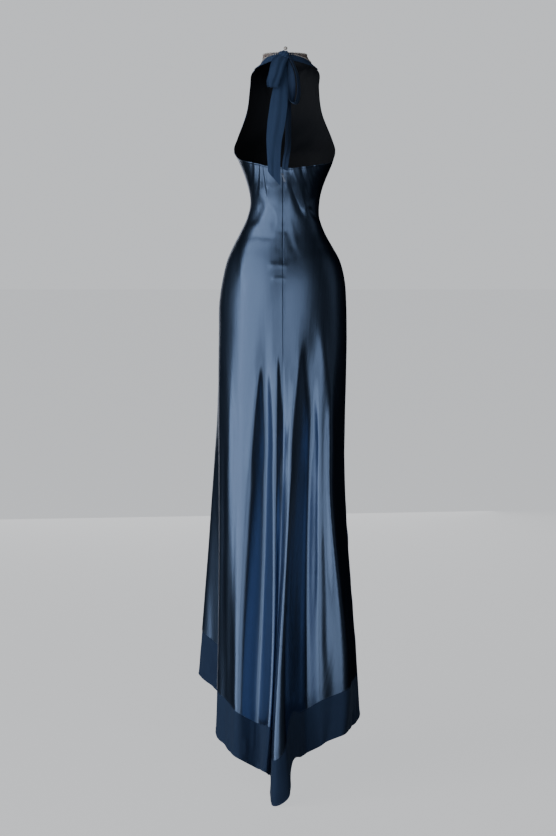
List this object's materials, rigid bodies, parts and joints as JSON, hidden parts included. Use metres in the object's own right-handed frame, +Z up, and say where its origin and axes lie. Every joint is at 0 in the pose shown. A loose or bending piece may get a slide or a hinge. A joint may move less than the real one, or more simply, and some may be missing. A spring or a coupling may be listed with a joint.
{
  "type": "evening gown",
  "caption": "Floor-length halter evening gown in bias-cut satin with an open back, a chiffon hem band on a short train, a beaded collar and a bow at the nape.",
  "frame": {"origin": "middle of the neck loop, where the wearer's neck or a dress form's neck holds the gown, 1.5 mm below the collar's top edge", "axes": "+Z up, +Y towards the back of the gown, +X towards the wearer's left"},
  "size_m": [0.411, 0.5201, 1.8223],
  "materials": {
    "satin": "glossy bias-cut satin",
    "chiffon": "matt, slightly sheer",
    "bead_cloth": "covered with small beads",
    "bead": "pearly",
    "tape": "plain weave",
    "zip_metal": "glossy enamel"
  },
  "bodies": {
    "gown": {"back_left": "satin", "back_right": "satin", "front_bodice": "satin", "front_skirt_left": "satin", "front_skirt_right": "satin", "hem_back_left": "chiffon", "hem_back_right": "chiffon", "hem_front": "chiffon", "collar": "bead_cloth", "strap_left": "chiffon", "strap_right": "chiffon", "knot": "chiffon", "loop_left": "chiffon", "loop_right": "chiffon", "tail_left": "chiffon", "tail_right": "chiffon", "knot_bead": "bead", "zip_tape": "tape", "zip_slider": "zip_metal"},
    "pull": {"zip_pull": "zip_metal"}
  },
  "joints": [
    {"name": "pull_hinge", "type": "hinge", "parent": "gown", "child": "pull", "pos_m": [0.00225, 0.1016, -0.29393], "axis": [0.9397, 0, -0.342], "range_deg": [-8, 120]}
  ]
}
